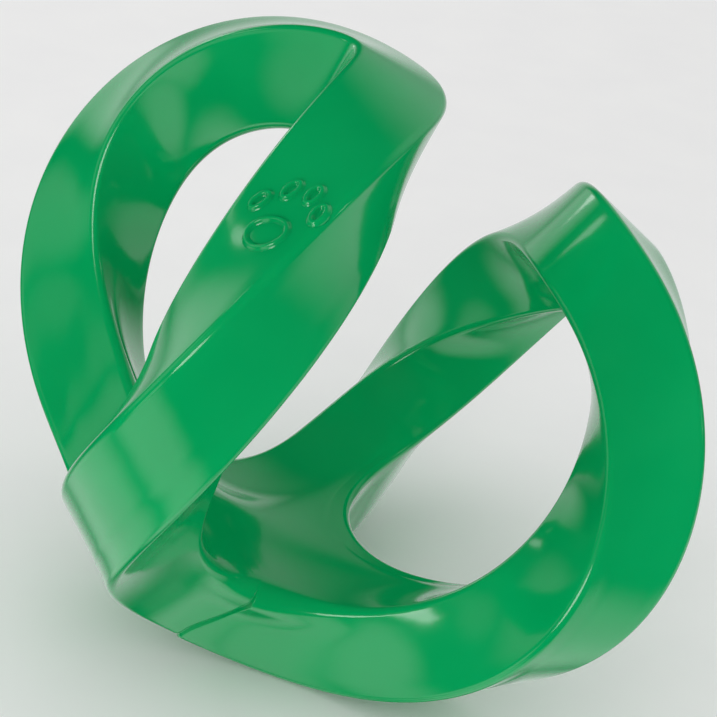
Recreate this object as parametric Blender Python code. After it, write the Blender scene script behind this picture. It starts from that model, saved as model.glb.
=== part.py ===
"""Twisted chew loop: one moulded elastomer bar of square section, twisted into a folded figure eight.

The bar's centre line is a closed curve with two mirror planes. It passes twice through the neck, where a web
joins the two passes into one moulding, and it opens into two rings whose far ends gape at the mouth. The
section rocks to one side and back as it goes round, so the bar's long edges wind round the rings. A seam
crosses the outer faces of the neck, where one ring is a little fuller than the other.

One half of the loop is built, from one ring's far end through the neck to the other's. Its mirror image is
the other half. The web grows out of a window in the half bar's inner side and ends at the mirror plane.
Units are metres and +Z is up. The loop stands in its rest pose, on its neck and the flanks of its rings.
"""

from math import cos, pi, radians, sin

import bmesh
import bpy
import numpy as np
from mathutils import Matrix, Vector

# Bar
BAR_SIDE = 0.018
EDGE_RADIUS = 0.0014
SECTION_SWING = radians(72)  # how far the section rocks either way of its middle setting

# Centre line, in the loop's own frame: Z runs from the mouth to the neck
RING_REACH = 0.0379  # main radius of the rings about the axis
MOUTH_OPENING = 0.0051  # widens the mouth and narrows the neck
SADDLE_FOLD = 0.0157  # third harmonic, which folds the loop like the seam of a tennis ball
NECK_PINCH = 0.0042  # fifth harmonic, which brings the two passes together at the neck
LOOP_RISE = 0.0454  # half the height of the centre line
RIM_FLARE = 0.0043  # spreads the rings' sides away from the ends
TIP_SHARPNESS = 0.0016  # tightens the bends at the neck and at the mouth

# Web between the two passes. Its section in the mirror plane has a skin side, a base side and two ends.
WEB_REACH = pi / 6  # how far from the neck's middle the web leaves the bar, in the centre line's parameter
BASE_SHARE = 0.57  # the same for the web's base, as a share of WEB_REACH
SKIN_CREST = 0.0365  # height of the skin over the neck's middle
SKIN_CORNER = (0.0255, 0.02945)  # where the skin and the end meet, along the neck and up
BASE_CREST = 0.0549
BASE_CORNER = (0.028, 0.049)
WEB_EDGE_RADIUS = 0.0018
WEB_GATHER = 1.35  # over 1, this draws the web's lines together towards its ends
CORNER_LEAN = 0.45  # how far the web's lines turn off the bar's lines at the window's corners
LEAVING_PULL = 0.05  # how much fuller the web's lines leave the bar at its ends than at its middle
MEETING_PULL = 0.2  # the same where they meet the mirror plane

# Seam across the outer faces of the neck, where one ring is a little fuller than the other
SEAM_LEAN = 0.085  # how far the seam's end at the neck's upper edge leans, in the centre line's parameter
SEAM_STEP = 0.00045  # how much fuller the bar is on one side
SEAM_FADE = 0.5  # how far that goes along the bar, in the centre line's parameter
SEAM_ROUNDING = 0.0009
SHOULDER_RISE = 0.0025  # how much fuller the edge between the outer face and the skin is at the seam
SHOULDER_WIDTH = 0.0024  # how far that goes over the outer face
SKIN_SHOULDER_WIDTH = 0.005
SHOULDER_FADE = 0.36  # how far that goes along the bar
LESSER_SHOULDER_RISE = 0.0016  # what is left of it on the outer face on the seam's lesser side
GROOVE_DEPTH = 0.0004
GROOVE_WIDTH = 0.00028
SEAM_REACH = 0.0012  # how far the fine stations go either side of the seam

# Raised paw mark on the front strand's outer face
MARK_AT = 1.745  # parameter of the section that the mark is centred on
MARK_ASIDE = -0.0015  # from the middle of the face
MARK_FACING = 5 * pi / 4  # the direction that the marked face faces, in the section
MARK_WIDTH = 0.0135
MARK_LINE = 0.001  # width of its raised outline
MARK_HEIGHT = 0.0006  # proud of the face
MARK_BURIED = 0.0012

# Rest placement
REST_TILT = radians(30.6)  # lean of the loop's axis that sets the neck and the rings' flanks on the ground
REST_YAW = radians(20)

# Mesh resolution
UNIFORM_STATIONS = 72  # WEB_REACH is a whole number of stations
SEAM_STATIONS = 7
ARC_STEPS = 3
MARGIN_STEPS = 1
MIDDLE_STEPS = 2
STRIPS = 6
MARK_STEPS = 20

NECK = pi / 4  # parameter of the pass through the neck
HALF = BAR_SIDE / 2
MARGIN = 0.28  # share of a face that lies between its edge and the web's window
LATERAL = np.array((1, 1, 0)) / 2**0.5  # from the mirror plane to the half that is built
ALONG = np.array((1, -1, 0)) / 2**0.5  # along the neck, in the mirror plane
UP = np.array((0.0, 0.0, 1.0))


def unit(vectors):
    return vectors / np.linalg.norm(vectors, axis=-1, keepdims=True)


def dot(first, second):
    return (first * second).sum(axis=-1, keepdims=True)


def smooth(share):
    share = np.clip(share, 0, 1)
    return share * share * (3 - 2 * share)


def reach(t):
    """One horizontal coordinate of the centre line. The other is its mirror image."""
    wave = RING_REACH * np.cos(t) - MOUTH_OPENING * np.sin(t) + SADDLE_FOLD * np.cos(3 * t)
    return wave + NECK_PINCH * (np.cos(5 * t) + np.sin(5 * t))


def centre(t):
    rise = LOOP_RISE * np.sin(2 * t) - RIM_FLARE * np.cos(4 * t) + TIP_SHARPNESS * np.sin(6 * t)
    return np.stack((reach(t), reach(pi / 2 - t), rise), axis=-1)


def speed(t):
    """Metres along the centre line for each unit of its parameter."""
    step = 1e-4
    return np.linalg.norm(centre(t + step) - centre(t - step)) / (2 * step)


def section_axes(t):
    """Directions in the section's plane towards its first two long edges."""
    step = 1e-5
    along = unit(centre(t + step) - centre(t - step))
    outward = centre(t)
    outward = unit(outward - dot(outward, along) * along)
    across = np.cross(along, outward)
    turn = (pi / 2 - SECTION_SWING * np.sin(2 * t))[..., None]
    return outward * np.cos(turn) + across * np.sin(turn), across * np.cos(turn) - outward * np.sin(turn)


def face_shares():
    """Places of a face's columns between its two edges."""
    margin = np.linspace(0, MARGIN, MARGIN_STEPS + 1)[1:-1]
    middle = np.linspace(MARGIN, 1 - MARGIN, MIDDLE_STEPS + 1)
    return np.concatenate((margin, middle, 1 - margin[::-1]))


SHARES = face_shares()
SIDE_COLUMNS = ARC_STEPS + 1 + len(SHARES)  # an edge's arc and then a face
SKIN_COLUMN = 2 * SIDE_COLUMNS - MARGIN_STEPS  # the window's two long borders
BASE_COLUMN = 3 * SIDE_COLUMNS + ARC_STEPS + MARGIN_STEPS


def station_offsets():
    """Parameters of the stations from the neck's middle, with finer ones about the seam."""
    uniform = np.linspace(-pi / 2, pi / 2, UNIFORM_STATIONS + 1)
    fine_reach = SEAM_REACH / speed(NECK)
    fine = np.linspace(-fine_reach, fine_reach, SEAM_STATIONS)
    return np.concatenate((uniform[uniform < -fine_reach], fine, uniform[uniform > fine_reach]))


def bar_outline():
    """The section's points in its plane, and the angle that each column faces."""
    points, facings = [], []
    for edge in range(4):
        towards = edge * pi / 2
        arc_centre = np.array((cos(towards), sin(towards))) * (HALF - EDGE_RADIUS) * 2**0.5
        for step in range(ARC_STEPS + 1):
            facing = towards + pi / 2 * (step / ARC_STEPS - 0.5)
            points.append(arc_centre + EDGE_RADIUS * np.array((cos(facing), sin(facing))))
            facings.append(facing)
        face_start = points[-1]
        along_face = np.array((-sin(facing), cos(facing)))
        for share in SHARES:
            points.append(face_start + along_face * (BAR_SIDE - 2 * EDGE_RADIUS) * share)
            facings.append(facing)
    return np.array(points), np.array(facings)


def column_runs():
    """Distance round the middle section's outline from the first column to each, and all the way round."""
    points, _ = bar_outline()
    steps = np.linalg.norm(np.roll(points, -1, axis=0) - points, axis=1)
    return np.concatenate(((0.0,), np.cumsum(steps)))


def slants():
    """How much each column draws in towards the neck, from 0 to 1, so that the web's base is shorter."""
    run = column_runs()
    inner_start, inner_end = 2 * SIDE_COLUMNS + ARC_STEPS, 3 * SIDE_COLUMNS
    rising = (run[:-1] - run[inner_start]) / (run[inner_end] - run[inner_start])
    falling = (run[-1] - run[:-1]) / (run[-1] - run[BASE_COLUMN])
    return smooth(np.minimum(rising, falling))


def seam_leans():
    """How far the seam leans at each column: it leans over the outer face and comes back over the skin's."""
    run = column_runs()[:-1]
    outer_start = run[ARC_STEPS]
    over_edge = run[SIDE_COLUMNS + ARC_STEPS // 2]
    rising = (run - outer_start) / (over_edge - outer_start)
    falling = 1 - (run - over_edge) / (BAR_SIDE / 2)
    return -SEAM_LEAN * smooth(np.minimum(rising, falling))


def parameters(offsets):
    """The centre line's parameter at every station and column."""
    offsets = offsets[:, None]
    fade = (1 - (offsets / (pi / 2)) ** 2) ** 4
    full_slant = (1 - BASE_SHARE) / (1 - (WEB_REACH / (pi / 2)) ** 2) ** 4
    near_seam = np.exp(-((offsets / WEB_REACH) ** 2) * 3)
    return NECK + offsets * (1 - full_slant * slants() * fade) + near_seam * seam_leans()


def seam_relief(offsets):
    """How far the surface stands out at every station and column: a shoulder, a step and a groove.

    The shoulder rolls over from the skin on both sides of the seam. On the lesser side it breaks off at the
    outer face.
    """
    run = column_runs()[:-1]
    over_start, over_middle, over_end = run[SIDE_COLUMNS + np.array((0, ARC_STEPS // 2, ARC_STEPS))]
    under_edge = run[BASE_COLUMN]
    base_fade = smooth((run - under_edge) / (BAR_SIDE * MARGIN))
    edge_fade = 1 - smooth((run - over_start) / (over_middle - over_start))
    outer_weights = np.where(run < under_edge, edge_fade, base_fade)
    shoulder_width = np.where(run < over_middle, SHOULDER_WIDTH, SKIN_SHOULDER_WIDTH)
    shoulder_weights = np.exp(-(((run - over_middle) / shoulder_width) ** 2) / 2)
    distance = offsets[:, None] * speed(NECK)
    fuller = smooth(0.5 - distance / SEAM_ROUNDING)
    break_off = smooth((run - over_start) / (over_end - over_start))
    lesser_rise = LESSER_SHOULDER_RISE + (SHOULDER_RISE - LESSER_SHOULDER_RISE) * break_off
    rise = fuller * SHOULDER_RISE + (1 - fuller) * lesser_rise
    shoulder = rise * shoulder_weights * smooth(1 - abs(offsets[:, None]) / SHOULDER_FADE)
    step = SEAM_STEP * fuller * outer_weights * smooth(1 + offsets[:, None] / SEAM_FADE)
    groove = GROOVE_DEPTH * outer_weights * np.exp(-((distance / GROOVE_WIDTH) ** 2))
    return shoulder + step - groove


def bar_surface(t, points):
    first, second = section_axes(t)
    return centre(t) + first * points[..., :1] + second * points[..., 1:]


def fillet(corner, towards_first, towards_second, radius, steps):
    """Points of the arc that rounds a corner, from the side towards_first to the side towards_second."""
    middle_way = unit(towards_first + towards_second)
    half_angle = np.arccos(np.clip(towards_first @ middle_way, -1, 1))
    arc_centre = corner + middle_way * radius / sin(half_angle)
    start = corner + towards_first * radius / np.tan(half_angle) - arc_centre
    end = corner + towards_second * radius / np.tan(half_angle) - arc_centre
    sweep = pi - 2 * half_angle
    shares = np.linspace(0, 1, steps + 1)[:, None]
    return arc_centre + (np.sin((1 - shares) * sweep) * start + np.sin(shares * sweep) * end) / sin(sweep)


def crest_curve(along, crest, end):
    """Height of a parabola over the neck with its top at crest, through end."""
    return crest + (end[1] - crest) * (along / end[0]) ** 2


def crest_points(end, crest, margins):
    """Points of the crest curve at these distances along from its end."""
    return [(end[0] - margin, crest_curve(end[0] - margin, crest, end)) for margin in margins]


def web_end():
    """The web's end in the mirror plane, as points along and up, from the skin to the base."""
    skin_corner, base_corner = np.array(SKIN_CORNER), np.array(BASE_CORNER)
    skin_back = unit(np.array((-1, 2 * (SKIN_CREST - SKIN_CORNER[1]) / SKIN_CORNER[0])))
    base_back = unit(np.array((-1, 2 * (BASE_CREST - BASE_CORNER[1]) / BASE_CORNER[0])))
    wall = unit(base_corner - skin_corner)
    rim = fillet(skin_corner, skin_back, wall, WEB_EDGE_RADIUS, ARC_STEPS)
    heel = fillet(base_corner, -wall, base_back, WEB_EDGE_RADIUS, ARC_STEPS)
    margins = np.linspace(0, MARGIN, MARGIN_STEPS + 1)[1:] * (BAR_SIDE - 2 * EDGE_RADIUS)
    before = crest_points(rim[0], SKIN_CREST, margins)
    after = crest_points(heel[-1], BASE_CREST, margins)
    between = [rim[-1] + (heel[0] - rim[-1]) * share for share in SHARES]
    return np.array((*reversed(before), *rim, *between, *heel, *after))


def window(offsets):
    """Goes round the window's border: station, column, share, foot in the mirror plane, lean, at an end.

    A lean says how far the web's line turns off the bar's line there. The last value tells the window's two
    short borders, where the web's ends start, from its long ones.
    """
    first_station = np.argmin(abs(offsets + WEB_REACH))
    last_station = np.argmin(abs(offsets - WEB_REACH))
    end = web_end()
    columns = range(SKIN_COLUMN, BASE_COLUMN)
    margin_leans = CORNER_LEAN * np.linspace(1, 0, MARGIN_STEPS + 1)[:-1]
    plain = np.zeros(len(end) - 2 * MARGIN_STEPS)
    leans = np.concatenate((margin_leans, plain, -margin_leans[::-1]))
    border = []
    for station in range(first_station, last_station):
        border.append((station, SKIN_COLUMN, SKIN_CREST))
    for column in columns:
        border.append((last_station, column, None))
    for station in range(last_station, first_station, -1):
        border.append((station, BASE_COLUMN, BASE_CREST))
    for column in reversed(columns):
        border.append((first_station, column + 1, None))
    places = []
    for station, column, crest in border:
        share = offsets[station] / WEB_REACH
        lean = leans[column - SKIN_COLUMN]
        along, height = end[column - SKIN_COLUMN]
        if crest is not None:
            along *= 1 - max(1 - abs(share), 0) ** WEB_GATHER
            height = crest_curve(along, crest, end[column - SKIN_COLUMN])
        foot = -np.sign(share) * along * ALONG + height * UP
        places.append((station, column, share, foot, lean, crest is None))
    return places


def web_line(start, along, across, share, foot, lean, at_end):
    """Points of one line of the web, from just after its start on the bar to its foot in the mirror plane.

    It leaves the bar in the bar's surface, and it meets the mirror plane squarely.
    """
    run = foot - start
    length = np.linalg.norm(run)
    leaving = unit(lean * across - np.sign(share) * along)
    if not at_end:
        normal = unit(np.cross(along, across))
        direct = unit(run - dot(run, normal) * normal)
        leaving = unit(share**4 * leaving + (1 - share**4) * direct)
    leaving = leaving * length * (1 + LEAVING_PULL * share**2)
    meeting = -LATERAL * length * (1 + MEETING_PULL * share**2)
    u = np.linspace(0, 1, STRIPS + 1)[1:, None]
    ends = (2 * u**3 - 3 * u**2 + 1) * start + (3 * u**2 - 2 * u**3) * foot
    return ends + (u**3 - 2 * u**2 + u) * leaving + (u**3 - u**2) * meeting


def build_half(mesh):
    """Half of the bar with half of the web: the half on the LATERAL side of the mirror plane."""
    offsets = station_offsets()
    points, facings = bar_outline()
    t = parameters(offsets)
    outward = np.stack((np.cos(facings), np.sin(facings)), axis=-1)
    points = points + seam_relief(offsets)[..., None] * outward
    surface = bar_surface(t, points)
    step = 1e-5
    along = unit(bar_surface(t + step, points) - bar_surface(t - step, points))
    first, second = section_axes(t)
    across = second * np.cos(facings)[:, None] - first * np.sin(facings)[:, None]
    rows = [[mesh.verts.new(point) for point in row] for row in surface]
    count = len(facings)
    for station, (near, far) in enumerate(zip(rows, rows[1:])):
        beside_web = -WEB_REACH < (offsets[station] + offsets[station + 1]) / 2 < WEB_REACH
        for column in range(count):
            if beside_web and SKIN_COLUMN <= column < BASE_COLUMN:
                continue
            following = (column + 1) % count
            mesh.faces.new((near[column], near[following], far[following], far[column]))
    lines = []
    for station, column, *course in window(offsets):
        spot = station, column
        line = web_line(surface[spot], along[spot], across[spot], *course)
        lines.append([rows[station][column]] + [mesh.verts.new(point) for point in line])
    for near, far in zip(lines, lines[1:] + lines[:1]):
        for i in range(STRIPS):
            mesh.faces.new((far[i], near[i], near[i + 1], far[i + 1]))
    bmesh.ops.delete(mesh, geom=[vertex for vertex in mesh.verts if not vertex.link_faces], context="VERTS")


def build_loop(mesh):
    """The half and its mirror image, welded in the mirror plane."""
    build_half(mesh)
    to_mirror_space = Matrix.Rotation(-pi / 4, 4, "Z")
    whole = mesh.verts[:] + mesh.edges[:] + mesh.faces[:]
    bmesh.ops.mirror(mesh, geom=whole, matrix=to_mirror_space, axis="X")
    bmesh.ops.remove_doubles(mesh, verts=mesh.verts, dist=1e-6)
    bmesh.ops.triangulate(mesh, faces=mesh.faces, quad_method="SHORT_EDGE")


def mark_point(along, across, height):
    """A point over the marked face: along the bar, across the face and out from it, in metres."""
    t = MARK_AT + along / speed(MARK_AT)
    first, second = section_axes(t)
    outward = first * cos(MARK_FACING) + second * sin(MARK_FACING)
    sideways = first * sin(MARK_FACING) - second * cos(MARK_FACING)
    return centre(t) + outward * (HALF + height) + sideways * (MARK_ASIDE + across)


def build_pad(mesh, along, across, length, width, lean):
    """One pad of the paw mark: an oval outline that stands proud of the face."""
    walls = []
    profile = ((0, -MARK_BURIED), (0, MARK_HEIGHT), (MARK_LINE, MARK_HEIGHT), (MARK_LINE, -MARK_BURIED))
    for inset, height in profile:
        wall = []
        for step in range(MARK_STEPS):
            angle = 2 * pi * step / MARK_STEPS
            x = (length / 2 - inset) * cos(angle)
            y = (width / 2 - inset) * sin(angle)
            place = (along + x * cos(lean) - y * sin(lean), across + x * sin(lean) + y * cos(lean))
            wall.append(mesh.verts.new(mark_point(*place, height)))
        walls.append(wall)
    for wall, following in zip(walls, walls[1:] + walls[:1]):
        for i in range(MARK_STEPS):
            j = (i + 1) % MARK_STEPS
            mesh.faces.new((wall[i], wall[j], following[j], following[i]))


def build_mark(mesh):
    size = MARK_WIDTH
    build_pad(mesh, -0.22 * size, 0, 0.44 * size, 0.62 * size, 0)
    for across, along, lean in ((-0.41, 0.12, 25), (-0.15, 0.33, 8), (0.15, 0.33, -8), (0.41, 0.12, -25)):
        build_pad(mesh, along * size, across * size, 0.32 * size, 0.24 * size, radians(lean))


def object_of(name, mesh_builder):
    """A new object with the mesh that mesh_builder makes, its faces turned outwards."""
    data = bpy.data.meshes.new(name)
    mesh = bmesh.new()
    mesh_builder(mesh)
    bmesh.ops.recalc_face_normals(mesh, faces=mesh.faces)
    mesh.to_mesh(data)
    mesh.free()
    made = bpy.data.objects.new(name, data)
    bpy.context.scene.collection.objects.link(made)
    return made


def elastomer():
    material = bpy.data.materials.new("green_elastomer")
    material.use_nodes = True
    shader = material.node_tree.nodes["Principled BSDF"]
    shader.inputs["Base Color"].default_value = (0.003, 0.27, 0.075, 1)
    shader.inputs["Roughness"].default_value = 0.3
    shader.inputs["Coat Weight"].default_value = 0.4
    material.diffuse_color = (0.003, 0.27, 0.075, 1)
    return material


def join_mark(loop):
    """Raises the paw mark on the bar with a Boolean union."""
    mark = object_of("paw_mark", build_mark)
    mark.hide_render = True
    mark.display_type = "WIRE"
    union = loop.modifiers.new("paw_mark", "BOOLEAN")
    union.object = mark
    union.operation = "UNION"
    union.solver = "EXACT"
    union.use_self = True
    return mark


def rest_on_ground(loop, mark):
    """Sets the loop down in its rest pose with its mark, and moves their meshes rather than the objects."""
    turn = Matrix.Rotation(REST_YAW, 4, "Z") @ Matrix.Rotation(REST_TILT - pi, 4, "Y")
    turn = turn @ Matrix.Rotation(-3 * pi / 4, 4, "Z")
    points = [turn @ vertex.co for vertex in loop.data.vertices]
    lows = [min(point[axis] for point in points) for axis in range(3)]
    highs = [max(point[axis] for point in points) for axis in range(3)]
    shift = Vector((-(lows[0] + highs[0]) / 2, -(lows[1] + highs[1]) / 2, -lows[2]))
    for made in (loop, mark):
        made.data.transform(Matrix.Translation(shift) @ turn)


for leftover in list(bpy.data.objects):
    bpy.data.objects.remove(leftover)

chew_loop = object_of("chew_loop", build_loop)
chew_loop.data.materials.append(elastomer())
chew_loop.data.shade_smooth()
paw_mark = join_mark(chew_loop)
rest_on_ground(chew_loop, paw_mark)
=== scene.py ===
"""The looks of the twisted chew loop: a fine mesh of the moulding, its elastomer, a pale studio and a camera.

The moulding follows the same centre line, section and web as the CAD part, in the loop's own frame, where Z
runs from the mouth to the neck. It is then set down over the CAD part in the shared frame. Units are metres.
"""

from math import cos, pi, radians, sin

import bmesh
import bpy
import numpy as np
from mathutils import Matrix, Vector


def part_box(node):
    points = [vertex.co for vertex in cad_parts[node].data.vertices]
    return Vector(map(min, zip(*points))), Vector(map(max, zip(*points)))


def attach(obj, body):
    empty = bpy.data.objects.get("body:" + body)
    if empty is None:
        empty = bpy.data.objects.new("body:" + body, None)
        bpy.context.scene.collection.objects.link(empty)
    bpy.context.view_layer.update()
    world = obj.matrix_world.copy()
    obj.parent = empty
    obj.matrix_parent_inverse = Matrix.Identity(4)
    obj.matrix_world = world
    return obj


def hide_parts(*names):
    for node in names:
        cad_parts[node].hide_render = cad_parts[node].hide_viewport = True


# Bar
BAR_SIDE = 0.018
EDGE_RADIUS = 0.0014
SECTION_SWING = radians(72)  # how far the section rocks either way of its middle setting

# Centre line
RING_REACH = 0.0379  # main radius of the rings about the axis
MOUTH_OPENING = 0.0051  # widens the mouth and narrows the neck
SADDLE_FOLD = 0.0157  # third harmonic, which folds the loop like the seam of a tennis ball
NECK_PINCH = 0.0042  # fifth harmonic, which brings the two passes together at the neck
LOOP_RISE = 0.0454  # half the height of the centre line
RIM_FLARE = 0.0043  # spreads the rings' sides away from the ends
TIP_SHARPNESS = 0.0016  # tightens the bends at the neck and at the mouth

# Web between the two passes. Its section in the mirror plane has a skin side, a base side and two ends.
WEB_REACH = pi / 6  # how far from the neck's middle the web leaves the bar, in the centre line's parameter
BASE_SHARE = 0.57  # the same for the web's base, as a share of WEB_REACH
SKIN_CREST = 0.0365  # height of the skin over the neck's middle
SKIN_CORNER = (0.0255, 0.02945)  # where the skin and the end meet, along the neck and up
BASE_CREST = 0.0549
BASE_CORNER = (0.028, 0.049)
WEB_EDGE_RADIUS = 0.0018
WEB_GATHER = 1.35  # over 1, this draws the web's lines together towards its ends
CORNER_LEAN = 0.45  # how far the web's lines turn off the bar's lines at the window's corners
LEAVING_PULL = 0.05  # how much fuller the web's lines leave the bar at its ends than at its middle
MEETING_PULL = 0.2  # the same where they meet the mirror plane

# Seam across the outer faces of the neck, where one ring is a little fuller than the other
SEAM_LEAN = 0.085  # how far the seam's end at the neck's upper edge leans, in the centre line's parameter
SEAM_STEP = 0.00045  # how much fuller the bar is on one side
SEAM_FADE = 0.5  # how far that goes along the bar, in the centre line's parameter
SEAM_ROUNDING = 0.0009
SHOULDER_RISE = 0.0025  # how much fuller the edge between the outer face and the skin is at the seam
SHOULDER_WIDTH = 0.0024  # how far that goes over the outer face
SKIN_SHOULDER_WIDTH = 0.005
SHOULDER_FADE = 0.36  # how far that goes along the bar
LESSER_SHOULDER_RISE = 0.0016  # what is left of it on the outer face on the seam's lesser side
GROOVE_DEPTH = 0.0004
GROOVE_WIDTH = 0.00028
SEAM_REACH = 0.0024  # how far the fine stations go either side of the seam

# Raised paw mark on the front strand's outer face
MARK_AT = 1.745  # parameter of the section that the mark is centred on
MARK_ASIDE = -0.0015  # from the middle of the face
MARK_FACING = 5 * pi / 4  # the direction that the marked face faces, in the section
MARK_WIDTH = 0.0135
MARK_LINE = 0.00125  # width of its raised outline, at its foot
MARK_CREST = 0.00025  # width of the outline's flat top
MARK_HEIGHT = 0.0006  # proud of the face
MARK_BURIED = 0.0006
PALM_ALONG, PALM_LENGTH, PALM_WIDTH = -0.22, 0.44, 0.62  # the paw's pads, in shares of MARK_WIDTH
TOE_LENGTH, TOE_WIDTH = 0.32, 0.24
TOES = (  # across, along, lean in degrees
    (-0.41, 0.12, 25),
    (-0.15, 0.33, 8),
    (0.15, 0.33, -8),
    (0.41, 0.12, -25),
)

# Mesh resolution
UNIFORM_STATIONS = 360  # WEB_REACH is a whole number of stations
SEAM_STATIONS = 41
ARC_STEPS = 8
MARGIN_STEPS = 2
MIDDLE_STEPS = 6
STRIPS = 20
SKIN_SMOOTHINGS = 24
SKIN_SMOOTHING = 0.5  # share of the way that each smoothing moves a point towards its neighbours
WELD_DISTANCE = 1e-7
MARK_STEPS = 72
MARK_PROFILE_STEPS = 14

# Elastomer. Scales are in noise cells to the metre.
DEEP_GREEN = (0.0, 0.3, 0.083, 1)
BRIGHT_GREEN = (0.0, 0.35, 0.1, 1)
CLOUD_SCALE = 28
GLOSSIEST, DULLEST = 0.09, 0.15  # roughness
HANDLING_SCALE = 55
WAVE_SCALE, WAVE_STRENGTH, WAVE_HEIGHT = 160, 0.35, 0.00006
GRAIN_SCALE, GRAIN_STRENGTH, GRAIN_HEIGHT = 2600, 0.25, 0.000008
REFRACTION = 1.5
GLOW_SHARE = 0.12  # share of the light that goes in and scatters
GLOW_RADII = (0.2, 1.0, 0.45)
GLOW_DEPTH = 0.0016
NOISE_LOW, NOISE_HIGH = 0.3, 0.7  # range that a noise mostly keeps to

# Floor
FLOOR_SPANS = 60  # its side, in widths of the loop
PAPER_DARK = (0.93, 0.93, 0.93, 1)
PAPER_LIGHT = (0.95, 0.95, 0.945, 1)
MOTTLE_SCALE = 40
PAPER_ROUGHNESS = 0.9
PAPER_SHEEN = 0.1

# Placement, the same as the CAD part's
REST_TILT = radians(30.6)
REST_YAW = radians(20)

# Camera, about the CAD part's middle
CAMERA_AZIMUTH = radians(0.27)
CAMERA_ELEVATION = radians(28.37)
CAMERA_ROLL = radians(9.29)
CAMERA_DEPTH = 0.3557
CAMERA_OFFSET = (0.00167, -0.00236)  # how far the line of sight passes right of the middle and above it
FIELD_OF_VIEW = radians(20.7)
NEAREST_SHOWN = 0.01

# Studio. Angles are in degrees. An azimuth goes from -Y towards +X.
SURROUND = 0.82  # brightness of the white surround
LAMP_DISTANCE = 1.0
LAMPS = (  # azimuth, elevation, width, height, brightness
    (-19, 6, 26, 22, 7),
    (-108, 31, 7, 7, 3),
    (82, 21, 6, 6, 4),
    (-141, 18, 8, 8, 3.5),
)
REFLECTED_CARDS = (  # azimuth, elevation, radius, softness, brightness
    (-36, -20, 12, 5, 1.3),
    (-20, -43, 14, 7, 1.3),
    (25, -67, 19, 9, 1.3),
    (100, -38, 30, 9, 1.0),
    (145, 20, 25, 14, 0.6),
    (180, -27, 34, 14, 0.75),
    (-138, 8, 16, 7, 1.1),
    (-84, 10, 17, 8, 0.65),
    (-50, 21, 7, 7, 0.4),
    (-95, -55, 22, 10, 1.15),
)

NECK = pi / 4  # parameter of the pass through the neck
HALF = BAR_SIDE / 2
FIRST_COLOUR, SECOND_COLOUR, MIXED_COLOUR = 6, 7, 2  # places of the mix node's colour sockets
MARGIN = 0.28  # share of a face that lies between its edge and the web's window
LATERAL = np.array((1, 1, 0)) / 2**0.5  # from the mirror plane to the half that is built
ALONG = np.array((1, -1, 0)) / 2**0.5  # along the neck, in the mirror plane
UP = np.array((0.0, 0.0, 1.0))


def unit(vectors):
    return vectors / np.linalg.norm(vectors, axis=-1, keepdims=True)


def dot(first, second):
    return (first * second).sum(axis=-1, keepdims=True)


def smooth(share):
    share = np.clip(share, 0, 1)
    return share * share * (3 - 2 * share)


def reach(t):
    """One horizontal coordinate of the centre line. The other is its mirror image."""
    wave = RING_REACH * np.cos(t) - MOUTH_OPENING * np.sin(t) + SADDLE_FOLD * np.cos(3 * t)
    return wave + NECK_PINCH * (np.cos(5 * t) + np.sin(5 * t))


def centre(t):
    rise = LOOP_RISE * np.sin(2 * t) - RIM_FLARE * np.cos(4 * t) + TIP_SHARPNESS * np.sin(6 * t)
    return np.stack((reach(t), reach(pi / 2 - t), rise), axis=-1)


def speed(t):
    """Metres along the centre line for each unit of its parameter."""
    step = 1e-4
    return np.linalg.norm(centre(t + step) - centre(t - step)) / (2 * step)


def section_axes(t):
    """Directions in the section's plane towards its first two long edges."""
    step = 1e-5
    along = unit(centre(t + step) - centre(t - step))
    outward = centre(t)
    outward = unit(outward - dot(outward, along) * along)
    across = np.cross(along, outward)
    turn = (pi / 2 - SECTION_SWING * np.sin(2 * t))[..., None]
    return outward * np.cos(turn) + across * np.sin(turn), across * np.cos(turn) - outward * np.sin(turn)


def face_shares():
    """Places of a face's columns between its two edges."""
    margin = np.linspace(0, MARGIN, MARGIN_STEPS + 1)[1:-1]
    middle = np.linspace(MARGIN, 1 - MARGIN, MIDDLE_STEPS + 1)
    return np.concatenate((margin, middle, 1 - margin[::-1]))


SHARES = face_shares()
SIDE_COLUMNS = ARC_STEPS + 1 + len(SHARES)  # an edge's arc and then a face
SKIN_COLUMN = 2 * SIDE_COLUMNS - MARGIN_STEPS  # the window's two long borders
BASE_COLUMN = 3 * SIDE_COLUMNS + ARC_STEPS + MARGIN_STEPS


def station_offsets():
    """Parameters of the stations from the neck's middle, with finer ones about the seam."""
    uniform = np.linspace(-pi / 2, pi / 2, UNIFORM_STATIONS + 1)
    fine_reach = SEAM_REACH / speed(NECK)
    fine = np.linspace(-fine_reach, fine_reach, SEAM_STATIONS)
    return np.concatenate((uniform[uniform < -fine_reach], fine, uniform[uniform > fine_reach]))


def bar_outline():
    """The section's points in its plane, and the angle that each column faces."""
    points, facings = [], []
    for edge in range(4):
        towards = edge * pi / 2
        arc_centre = np.array((cos(towards), sin(towards))) * (HALF - EDGE_RADIUS) * 2**0.5
        for step in range(ARC_STEPS + 1):
            facing = towards + pi / 2 * (step / ARC_STEPS - 0.5)
            points.append(arc_centre + EDGE_RADIUS * np.array((cos(facing), sin(facing))))
            facings.append(facing)
        face_start = points[-1]
        along_face = np.array((-sin(facing), cos(facing)))
        for share in SHARES:
            points.append(face_start + along_face * (BAR_SIDE - 2 * EDGE_RADIUS) * share)
            facings.append(facing)
    return np.array(points), np.array(facings)


def column_runs():
    """Distance round the middle section's outline from the first column to each, and all the way round."""
    points, _ = bar_outline()
    steps = np.linalg.norm(np.roll(points, -1, axis=0) - points, axis=1)
    return np.concatenate(((0.0,), np.cumsum(steps)))


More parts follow.
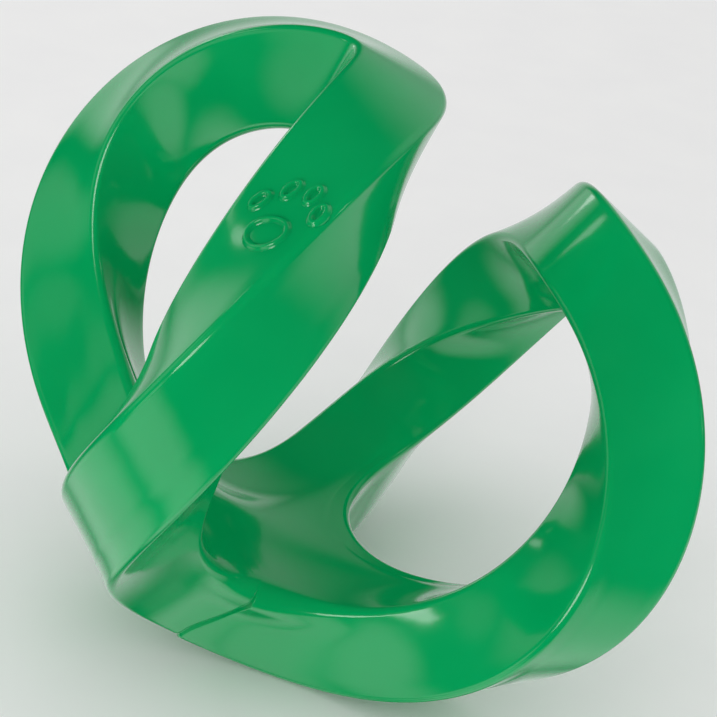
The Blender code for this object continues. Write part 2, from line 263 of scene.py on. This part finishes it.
def slants():
    """How much each column draws in towards the neck, from 0 to 1, so that the web's base is shorter."""
    run = column_runs()
    inner_start, inner_end = 2 * SIDE_COLUMNS + ARC_STEPS, 3 * SIDE_COLUMNS
    rising = (run[:-1] - run[inner_start]) / (run[inner_end] - run[inner_start])
    falling = (run[-1] - run[:-1]) / (run[-1] - run[BASE_COLUMN])
    return smooth(np.minimum(rising, falling))


def seam_leans():
    """How far the seam leans at each column: it leans over the outer face and comes back over the skin's."""
    run = column_runs()[:-1]
    outer_start = run[ARC_STEPS]
    over_edge = run[SIDE_COLUMNS + ARC_STEPS // 2]
    rising = (run - outer_start) / (over_edge - outer_start)
    falling = 1 - (run - over_edge) / (BAR_SIDE / 2)
    return -SEAM_LEAN * smooth(np.minimum(rising, falling))


def parameters(offsets):
    """The centre line's parameter at every station and column."""
    offsets = offsets[:, None]
    fade = (1 - (offsets / (pi / 2)) ** 2) ** 4
    full_slant = (1 - BASE_SHARE) / (1 - (WEB_REACH / (pi / 2)) ** 2) ** 4
    near_seam = np.exp(-((offsets / WEB_REACH) ** 2) * 3)
    return NECK + offsets * (1 - full_slant * slants() * fade) + near_seam * seam_leans()


def seam_relief(offsets):
    """How far the surface stands out at every station and column: a shoulder, a step and a groove.

    The shoulder rolls over from the skin on both sides of the seam. On the lesser side it breaks off at the
    outer face.
    """
    run = column_runs()[:-1]
    over_start, over_middle, over_end = run[SIDE_COLUMNS + np.array((0, ARC_STEPS // 2, ARC_STEPS))]
    under_edge = run[BASE_COLUMN]
    base_fade = smooth((run - under_edge) / (BAR_SIDE * MARGIN))
    edge_fade = 1 - smooth((run - over_start) / (over_middle - over_start))
    outer_weights = np.where(run < under_edge, edge_fade, base_fade)
    shoulder_width = np.where(run < over_middle, SHOULDER_WIDTH, SKIN_SHOULDER_WIDTH)
    shoulder_weights = np.exp(-(((run - over_middle) / shoulder_width) ** 2) / 2)
    distance = offsets[:, None] * speed(NECK)
    fuller = smooth(0.5 - distance / SEAM_ROUNDING)
    break_off = smooth((run - over_start) / (over_end - over_start))
    lesser_rise = LESSER_SHOULDER_RISE + (SHOULDER_RISE - LESSER_SHOULDER_RISE) * break_off
    rise = fuller * SHOULDER_RISE + (1 - fuller) * lesser_rise
    shoulder = rise * shoulder_weights * smooth(1 - abs(offsets[:, None]) / SHOULDER_FADE)
    step = SEAM_STEP * fuller * outer_weights * smooth(1 + offsets[:, None] / SEAM_FADE)
    groove = GROOVE_DEPTH * outer_weights * np.exp(-((distance / GROOVE_WIDTH) ** 2))
    return shoulder + step - groove


def bar_surface(t, points):
    first, second = section_axes(t)
    return centre(t) + first * points[..., :1] + second * points[..., 1:]


def fillet(corner, towards_first, towards_second, radius, steps):
    """Points of the arc that rounds a corner, from the side towards_first to the side towards_second."""
    middle_way = unit(towards_first + towards_second)
    half_angle = np.arccos(np.clip(towards_first @ middle_way, -1, 1))
    arc_centre = corner + middle_way * radius / sin(half_angle)
    start = corner + towards_first * radius / np.tan(half_angle) - arc_centre
    end = corner + towards_second * radius / np.tan(half_angle) - arc_centre
    sweep = pi - 2 * half_angle
    shares = np.linspace(0, 1, steps + 1)[:, None]
    return arc_centre + (np.sin((1 - shares) * sweep) * start + np.sin(shares * sweep) * end) / sin(sweep)


def crest_curve(along, crest, end):
    """Height of a parabola over the neck with its top at crest, through end."""
    return crest + (end[1] - crest) * (along / end[0]) ** 2


def crest_points(end, crest, margins):
    """Points of the crest curve at these distances along from its end."""
    return [(end[0] - margin, crest_curve(end[0] - margin, crest, end)) for margin in margins]


def web_end():
    """The web's end in the mirror plane, as points along and up, from the skin to the base."""
    skin_corner, base_corner = np.array(SKIN_CORNER), np.array(BASE_CORNER)
    skin_back = unit(np.array((-1, 2 * (SKIN_CREST - SKIN_CORNER[1]) / SKIN_CORNER[0])))
    base_back = unit(np.array((-1, 2 * (BASE_CREST - BASE_CORNER[1]) / BASE_CORNER[0])))
    wall = unit(base_corner - skin_corner)
    rim = fillet(skin_corner, skin_back, wall, WEB_EDGE_RADIUS, ARC_STEPS)
    heel = fillet(base_corner, -wall, base_back, WEB_EDGE_RADIUS, ARC_STEPS)
    margins = np.linspace(0, MARGIN, MARGIN_STEPS + 1)[1:] * (BAR_SIDE - 2 * EDGE_RADIUS)
    before = crest_points(rim[0], SKIN_CREST, margins)
    after = crest_points(heel[-1], BASE_CREST, margins)
    between = [rim[-1] + (heel[0] - rim[-1]) * share for share in SHARES]
    return np.array((*reversed(before), *rim, *between, *heel, *after))


def window(offsets):
    """Goes round the window's border: station, column, share, foot in the mirror plane, lean, at an end.

    A lean says how far the web's line turns off the bar's line there. The last value tells the window's two
    short borders, where the web's ends start, from its long ones.
    """
    first_station = np.argmin(abs(offsets + WEB_REACH))
    last_station = np.argmin(abs(offsets - WEB_REACH))
    end = web_end()
    columns = range(SKIN_COLUMN, BASE_COLUMN)
    margin_leans = CORNER_LEAN * np.linspace(1, 0, MARGIN_STEPS + 1)[:-1]
    plain = np.zeros(len(end) - 2 * MARGIN_STEPS)
    leans = np.concatenate((margin_leans, plain, -margin_leans[::-1]))
    border = []
    for station in range(first_station, last_station):
        border.append((station, SKIN_COLUMN, SKIN_CREST))
    for column in columns:
        border.append((last_station, column, None))
    for station in range(last_station, first_station, -1):
        border.append((station, BASE_COLUMN, BASE_CREST))
    for column in reversed(columns):
        border.append((first_station, column + 1, None))
    places = []
    for station, column, crest in border:
        share = offsets[station] / WEB_REACH
        lean = leans[column - SKIN_COLUMN]
        along, height = end[column - SKIN_COLUMN]
        if crest is not None:
            along *= 1 - max(1 - abs(share), 0) ** WEB_GATHER
            height = crest_curve(along, crest, end[column - SKIN_COLUMN])
        foot = -np.sign(share) * along * ALONG + height * UP
        places.append((station, column, share, foot, lean, crest is None))
    return places


def web_line(start, along, across, share, foot, lean, at_end):
    """Points of one line of the web, from just after its start on the bar to its foot in the mirror plane.

    It leaves the bar in the bar's surface, and it meets the mirror plane squarely.
    """
    run = foot - start
    length = np.linalg.norm(run)
    leaving = unit(lean * across - np.sign(share) * along)
    if not at_end:
        normal = unit(np.cross(along, across))
        direct = unit(run - dot(run, normal) * normal)
        leaving = unit(share**4 * leaving + (1 - share**4) * direct)
    leaving = leaving * length * (1 + LEAVING_PULL * share**2)
    meeting = -LATERAL * length * (1 + MEETING_PULL * share**2)
    u = np.linspace(0, 1, STRIPS + 1)[1:, None]
    ends = (2 * u**3 - 3 * u**2 + 1) * start + (3 * u**2 - 2 * u**3) * foot
    return ends + (u**3 - 2 * u**2 + u) * leaving + (u**3 - u**2) * meeting


def build_half(mesh):
    """Half of the bar with half of the web: the half on the LATERAL side of the mirror plane."""
    offsets = station_offsets()
    points, facings = bar_outline()
    t = parameters(offsets)
    outward = np.stack((np.cos(facings), np.sin(facings)), axis=-1)
    points = points + seam_relief(offsets)[..., None] * outward
    surface = bar_surface(t, points)
    step = 1e-5
    along = unit(bar_surface(t + step, points) - bar_surface(t - step, points))
    first, second = section_axes(t)
    across = second * np.cos(facings)[:, None] - first * np.sin(facings)[:, None]
    rows = [[mesh.verts.new(point) for point in row] for row in surface]
    count = len(facings)
    for station, (near, far) in enumerate(zip(rows, rows[1:])):
        beside_web = -WEB_REACH < (offsets[station] + offsets[station + 1]) / 2 < WEB_REACH
        for column in range(count):
            if beside_web and SKIN_COLUMN <= column < BASE_COLUMN:
                continue
            following = (column + 1) % count
            mesh.faces.new((near[column], near[following], far[following], far[column]))
    lines = []
    for station, column, *course in window(offsets):
        spot = station, column
        line = web_line(surface[spot], along[spot], across[spot], *course)
        lines.append([rows[station][column]] + [mesh.verts.new(point) for point in line])
    for near, far in zip(lines, lines[1:] + lines[:1]):
        for i in range(STRIPS):
            mesh.faces.new((far[i], near[i], near[i + 1], far[i + 1]))
    bmesh.ops.delete(mesh, geom=[vertex for vertex in mesh.verts if not vertex.link_faces], context="VERTS")
    beside_web = np.flatnonzero(abs(offsets) < WEB_REACH)
    face_start = SIDE_COLUMNS + ARC_STEPS + 1
    skin = [rows[station][column] for station in beside_web for column in range(face_start, SKIN_COLUMN + 1)]
    for line in lines[: len(beside_web)]:
        skin += line[1:-1]
    every_way = {"use_axis_x": True, "use_axis_y": True, "use_axis_z": True}
    for _ in range(SKIN_SMOOTHINGS):
        bmesh.ops.smooth_vert(mesh, verts=skin, factor=SKIN_SMOOTHING, **every_way)


def build_loop(mesh):
    """The half and its mirror image, welded in the mirror plane."""
    build_half(mesh)
    to_mirror_space = Matrix.Rotation(-pi / 4, 4, "Z")
    whole = mesh.verts[:] + mesh.edges[:] + mesh.faces[:]
    bmesh.ops.mirror(mesh, geom=whole, matrix=to_mirror_space, axis="X")
    bmesh.ops.remove_doubles(mesh, verts=mesh.verts, dist=WELD_DISTANCE)


def mark_point(along, across, height):
    """A point over the marked face: along the bar, across the face and out from it, in metres."""
    t = MARK_AT + along / speed(MARK_AT)
    first, second = section_axes(t)
    outward = first * cos(MARK_FACING) + second * sin(MARK_FACING)
    sideways = first * sin(MARK_FACING) - second * cos(MARK_FACING)
    return centre(t) + outward * (HALF + height) + sideways * (MARK_ASIDE + across)


def line_profile():
    """The raised line's section: places across it and heights, from foot to foot and round under the face."""
    places = np.linspace(-MARK_LINE / 2, MARK_LINE / 2, MARK_PROFILE_STEPS + 1)
    flank = (abs(places) - MARK_CREST / 2) / (MARK_LINE / 2 - MARK_CREST / 2)
    heights = MARK_HEIGHT * (1 - smooth(flank))
    foot = MARK_LINE / 2
    return list(zip(places, heights)) + [(foot, -MARK_BURIED), (-foot, -MARK_BURIED)]


def build_pad(mesh, along, across, length, width, lean):
    """One pad of the paw mark: an oval raised line with rounded shoulders and a filleted foot."""
    profile = line_profile()
    sections = []
    for step in range(MARK_STEPS):
        angle = 2 * pi * step / MARK_STEPS
        loop = []
        for place, height in profile:
            x = (length / 2 - MARK_LINE / 2 + place) * cos(angle)
            y = (width / 2 - MARK_LINE / 2 + place) * sin(angle)
            spot = (along + x * cos(lean) - y * sin(lean), across + x * sin(lean) + y * cos(lean))
            loop.append(mesh.verts.new(mark_point(*spot, height)))
        sections.append(loop)
    for near, far in zip(sections, sections[1:] + sections[:1]):
        for i in range(len(profile)):
            j = (i + 1) % len(profile)
            mesh.faces.new((near[i], near[j], far[j], far[i]))


def build_mark(mesh):
    """The paw's palm and its four toes."""
    size = MARK_WIDTH
    build_pad(mesh, PALM_ALONG * size, 0, PALM_LENGTH * size, PALM_WIDTH * size, 0)
    for across, along, lean in TOES:
        build_pad(mesh, along * size, across * size, TOE_LENGTH * size, TOE_WIDTH * size, radians(lean))


def object_of(name, mesh_builder, material):
    """A new smooth-shaded object with the mesh that mesh_builder makes, its faces turned outwards."""
    data = bpy.data.meshes.new(name)
    mesh = bmesh.new()
    mesh_builder(mesh)
    bmesh.ops.recalc_face_normals(mesh, faces=mesh.faces)
    mesh.to_mesh(data)
    mesh.free()
    data.shade_smooth()
    data.materials.append(material)
    made = bpy.data.objects.new(name, data)
    bpy.context.scene.collection.objects.link(made)
    return made


def set_down(loop, mark, target):
    """Turns the loop and its mark into the rest pose and puts the loop's middle on target."""
    turn = Matrix.Rotation(REST_YAW, 4, "Z") @ Matrix.Rotation(REST_TILT - pi, 4, "Y")
    turn = turn @ Matrix.Rotation(-3 * pi / 4, 4, "Z")
    for made in (loop, mark):
        made.data.transform(turn)
    places = np.array([vertex.co for vertex in loop.data.vertices])
    shift = target - Vector((places.min(axis=0) + places.max(axis=0)) / 2)
    for made in (loop, mark):
        made.data.transform(Matrix.Translation(shift))


def feed(tree, socket, value):
    """Gives a shader input its value, or links it if the value is another node's output."""
    if isinstance(value, bpy.types.NodeSocket):
        tree.links.new(value, socket)
    else:
        socket.default_value = value


def node(tree, kind, **inputs):
    """A new shader node with the given input values."""
    made = tree.nodes.new(kind)
    for name, value in inputs.items():
        feed(tree, made.inputs[name.replace("_", " ")], value)
    return made


def noise(tree, position, scale, detail):
    made = node(tree, "ShaderNodeTexNoise", Vector=position, Scale=scale, Detail=detail)
    return made.outputs["Fac"]


def between(tree, share, low, high):
    """A noise's share mapped to the range from low to high."""
    given = {"From_Min": NOISE_LOW, "From_Max": NOISE_HIGH}
    made = node(tree, "ShaderNodeMapRange", Value=share, To_Min=low, To_Max=high, **given)
    return made.outputs["Result"]


def blend(tree, share, first, second):
    made = tree.nodes.new("ShaderNodeMix")
    made.data_type = "RGBA"
    feed(tree, made.inputs["Factor"], share)
    feed(tree, made.inputs[FIRST_COLOUR], first)
    feed(tree, made.inputs[SECOND_COLOUR], second)
    return made.outputs[MIXED_COLOUR]


def bumped(tree, height, strength, distance, normal=None):
    inputs = {"Height": height, "Strength": strength, "Distance": distance}
    if normal:
        inputs["Normal"] = normal
    return node(tree, "ShaderNodeBump", **inputs).outputs["Normal"]


def new_material(name):
    material = bpy.data.materials.new(name)
    material.use_nodes = True
    return material, material.node_tree, material.node_tree.nodes["Principled BSDF"]


def elastomer():
    """Glossy green elastomer: faint cloudy colour, slightly wavy skin and a grain that dulls the gloss."""
    material, tree, shader = new_material("green_elastomer")
    position = tree.nodes.new("ShaderNodeTexCoord").outputs["Object"]
    clouds = between(tree, noise(tree, position, CLOUD_SCALE, 3), 0, 1)
    colour = blend(tree, clouds, DEEP_GREEN, BRIGHT_GREEN)
    tree.links.new(colour, shader.inputs["Base Color"])
    handling = noise(tree, position, HANDLING_SCALE, 5)
    tree.links.new(between(tree, handling, GLOSSIEST, DULLEST), shader.inputs["Roughness"])
    waves = bumped(tree, noise(tree, position, WAVE_SCALE, 2), WAVE_STRENGTH, WAVE_HEIGHT)
    grain = bumped(tree, noise(tree, position, GRAIN_SCALE, 3), GRAIN_STRENGTH, GRAIN_HEIGHT, waves)
    tree.links.new(grain, shader.inputs["Normal"])
    shader.inputs["IOR"].default_value = REFRACTION
    shader.inputs["Subsurface Weight"].default_value = GLOW_SHARE
    shader.inputs["Subsurface Radius"].default_value = GLOW_RADII
    shader.inputs["Subsurface Scale"].default_value = GLOW_DEPTH
    return material


def studio_floor(side):
    """A wide pale floor with a faint mottle. Reflections don't show it."""
    bpy.ops.mesh.primitive_plane_add(size=side)
    floor = bpy.context.object
    floor.name = "studio_floor"
    material, tree, shader = new_material("pale_paper")
    position = tree.nodes.new("ShaderNodeTexCoord").outputs["Object"]
    mottle = between(tree, noise(tree, position, MOTTLE_SCALE, 4), 0, 1)
    colour = blend(tree, mottle, PAPER_DARK, PAPER_LIGHT)
    tree.links.new(colour, shader.inputs["Base Color"])
    shader.inputs["Roughness"].default_value = PAPER_ROUGHNESS
    shader.inputs["Specular IOR Level"].default_value = PAPER_SHEEN
    floor.data.materials.append(material)
    floor.visible_glossy = False


def towards(azimuth, elevation):
    """The direction at an azimuth from -Y towards +X and at an elevation."""
    level = cos(elevation)
    return Vector((level * sin(azimuth), -level * cos(azimuth), sin(elevation)))


def lamp(name, target, azimuth, elevation, width, height, brightness):
    """An oval lamp that faces target. Its brightness is what a mirror would show of it."""
    light = bpy.data.lights.new(name, "AREA")
    light.shape = "ELLIPSE"
    light.size, light.size_y = LAMP_DISTANCE * radians(width), LAMP_DISTANCE * radians(height)
    light.energy = brightness * pi * pi / 4 * light.size * light.size_y
    made = bpy.data.objects.new(name, light)
    bpy.context.scene.collection.objects.link(made)
    direction = towards(radians(azimuth), radians(elevation))
    made.location = target + direction * LAMP_DISTANCE
    made.rotation_euler = direction.to_track_quat("Z", "Y").to_euler()


def card(tree, direction, azimuth, elevation, radius, softness, brightness):
    """Brightness of a soft-edged round white card in the direction that a reflection looks."""
    facing = tuple(towards(radians(azimuth), radians(elevation)))
    nearness = tree.nodes.new("ShaderNodeVectorMath")
    nearness.operation = "DOT_PRODUCT"
    tree.links.new(direction, nearness.inputs[0])
    nearness.inputs[1].default_value = facing
    edge = node(
        tree,
        "ShaderNodeMapRange",
        Value=nearness.outputs["Value"],
        From_Min=cos(radians(radius + softness)),
        From_Max=cos(radians(max(radius - softness, 0))),
        To_Min=0,
        To_Max=brightness,
    )
    edge.interpolation_type = "SMOOTHSTEP"
    return edge.outputs["Result"]


def studio_surround():
    """A white surround that lights evenly. Reflections show white cards in the dark instead."""
    world = bpy.data.worlds.new("studio")
    bpy.context.scene.world = world
    world.use_nodes = True
    tree = world.node_tree
    direction = tree.nodes.new("ShaderNodeTexCoord").outputs["Generated"]
    reflected = None
    for place in REFLECTED_CARDS:
        brightness = card(tree, direction, *place)
        if reflected:
            brighter = tree.nodes.new("ShaderNodeMath")
            brighter.operation = "MAXIMUM"
            tree.links.new(reflected, brighter.inputs[0])
            tree.links.new(brightness, brighter.inputs[1])
            brightness = brighter.outputs["Value"]
        reflected = brightness
    is_reflection = tree.nodes.new("ShaderNodeLightPath").outputs["Is Glossy Ray"]
    shown = blend(tree, is_reflection, (SURROUND, SURROUND, SURROUND, 1), reflected)
    tree.links.new(shown, tree.nodes["Background"].inputs["Color"])


def camera(target):
    """Looks at target from the marked strand's side, from above and with a lean to one side."""
    lens = bpy.data.cameras.new("camera")
    lens.angle = FIELD_OF_VIEW
    lens.clip_start = NEAREST_SHOWN
    made = bpy.data.objects.new("camera", lens)
    bpy.context.scene.collection.objects.link(made)
    back = towards(CAMERA_AZIMUTH, CAMERA_ELEVATION)
    turn = back.to_track_quat("Z", "Y").to_matrix() @ Matrix.Rotation(CAMERA_ROLL, 3, "Z")
    right, up = turn.col[0], turn.col[1]
    place = target + back * CAMERA_DEPTH + right * CAMERA_OFFSET[0] + up * CAMERA_OFFSET[1]
    made.matrix_world = Matrix.Translation(place) @ turn.to_4x4()
    bpy.context.scene.camera = made


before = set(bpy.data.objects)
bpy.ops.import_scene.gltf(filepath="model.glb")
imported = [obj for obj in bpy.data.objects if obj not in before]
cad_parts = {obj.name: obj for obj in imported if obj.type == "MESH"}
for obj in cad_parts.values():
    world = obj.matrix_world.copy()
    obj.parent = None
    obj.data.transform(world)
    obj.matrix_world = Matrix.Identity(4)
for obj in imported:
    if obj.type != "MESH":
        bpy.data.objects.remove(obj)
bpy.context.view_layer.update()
cad_low, cad_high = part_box("chew_loop")
middle = (cad_low + cad_high) / 2

green = elastomer()
loop_body = object_of("loop_body", build_loop, green)
paw_mark = object_of("paw_mark", build_mark, green)
set_down(loop_body, paw_mark, middle)
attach(loop_body, "root")
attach(paw_mark, "root")
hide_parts("chew_loop")

studio_floor(FLOOR_SPANS * (cad_high.x - cad_low.x))
studio_surround()
for number, place in enumerate(LAMPS):
    lamp(f"lamp_{number}", middle, *place)
camera(middle)
bpy.context.scene.view_settings.view_transform = "Standard"
